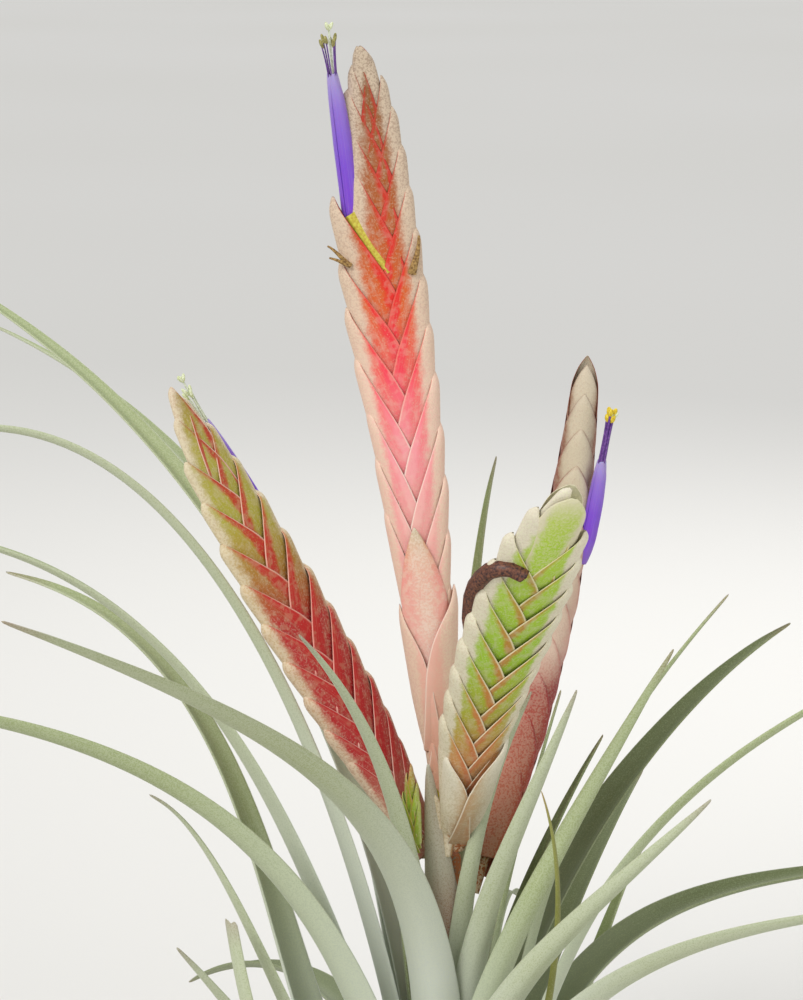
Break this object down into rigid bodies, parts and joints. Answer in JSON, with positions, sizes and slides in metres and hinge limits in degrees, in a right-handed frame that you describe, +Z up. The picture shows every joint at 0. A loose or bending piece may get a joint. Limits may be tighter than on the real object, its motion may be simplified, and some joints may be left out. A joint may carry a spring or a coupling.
{
  "type": "flowering tillandsia plant",
  "caption": "Arco iris tillandsia in bloom: a rosette of silver-green channelled leaves round a stalk with flattened spikes of coral, scarlet and lime bracts and violet flowers.",
  "frame": {"origin": "centre of the stem's flat trimmed underside, on the surface the plant rests on", "axes": "+Z up the stem; -Y towards the side the plant is looked at from; +X to the right of that view"},
  "size_m": [0.3889, 0.3814, 0.3872],
  "materials": {
    "stem": "woody trimmed foot, tan above",
    "leaf": "matt grey-green with silver scurf",
    "withered_leaf": "matt yellow-green, drying",
    "stalk_bract": "matt scurfy, pinkish at the foot",
    "coral_bracts": "matt coral with cream scurf, orange-brown towards the tip",
    "scarlet_bracts": "matt scarlet with pale margins, yellow-green on one side",
    "lime_bracts": "matt lime green with orange margins and pale scurf",
    "cream_bracts": "matt cream and brown scurf, red-brown towards the foot",
    "young_bracts": "matt lime green with an orange tip",
    "petals": "satin violet",
    "stamens": "violet filaments with yellow anthers",
    "pistil": "pale yellow-green",
    "dried_petals": "matt purple-brown, papery"
  },
  "bodies": {
    "root": {"stem_and_stalk": "stem", "leaf_stalk_side_spear": "leaf", "leaf_back_spear": "leaf", "leaf_short_spear": "leaf", "leaf_thin_spear": "leaf", "leaf_red_side_spear": "leaf", "leaf_high_arch_a": "leaf", "leaf_dark_spear": "leaf", "leaf_pale_spear": "leaf", "leaf_long_arch_a": "leaf", "leaf_broad_back": "leaf", "leaf_front_arch": "leaf", "leaf_high_arch_b": "leaf", "leaf_needle": "leaf", "leaf_dark_upright": "leaf", "leaf_long_arch_b": "leaf", "leaf_right_spear": "leaf", "leaf_pale_blade": "leaf", "leaf_back_arch_a": "leaf", "leaf_low_arch": "leaf", "leaf_right_arch": "leaf", "leaf_withered_strip": "withered_leaf", "leaf_right_low_a": "leaf", "leaf_back_arch_b": "leaf", "leaf_low_arch_b": "leaf", "leaf_right_low_b": "leaf", "leaf_back_arch_c": "leaf", "leaf_mid_arch": "leaf", "leaf_front_blade": "leaf", "leaf_right_low_c": "leaf", "leaf_ground_back": "leaf", "leaf_torn_blade": "leaf", "leaf_ground_front": "leaf", "leaf_curved_blade": "leaf", "leaf_left_low": "leaf", "leaf_ground_front_right": "leaf", "leaf_ground_back_right": "leaf", "leaf_ground_left": "leaf", "leaf_ground_back_left": "leaf", "leaf_ground_front_left": "leaf", "stalk_bract_top": "stalk_bract", "stalk_bract_front": "stalk_bract", "stalk_bract_back": "stalk_bract", "main_spike": "coral_bracts", "left_spike": "scarlet_bracts", "front_spike": "lime_bracts", "rear_spike": "cream_bracts", "main_flower_petals": "petals", "main_flower_stamens": "stamens", "main_flower_pistil": "pistil", "left_flower_petals": "petals", "left_flower_stamens": "stamens", "left_flower_pistil": "pistil", "rear_flower_petals": "petals", "rear_flower_stamens": "stamens", "rear_flower_pistil": "pistil", "dried_flower": "dried_petals", "young_spike": "young_bracts"}
  },
  "joints": []
}
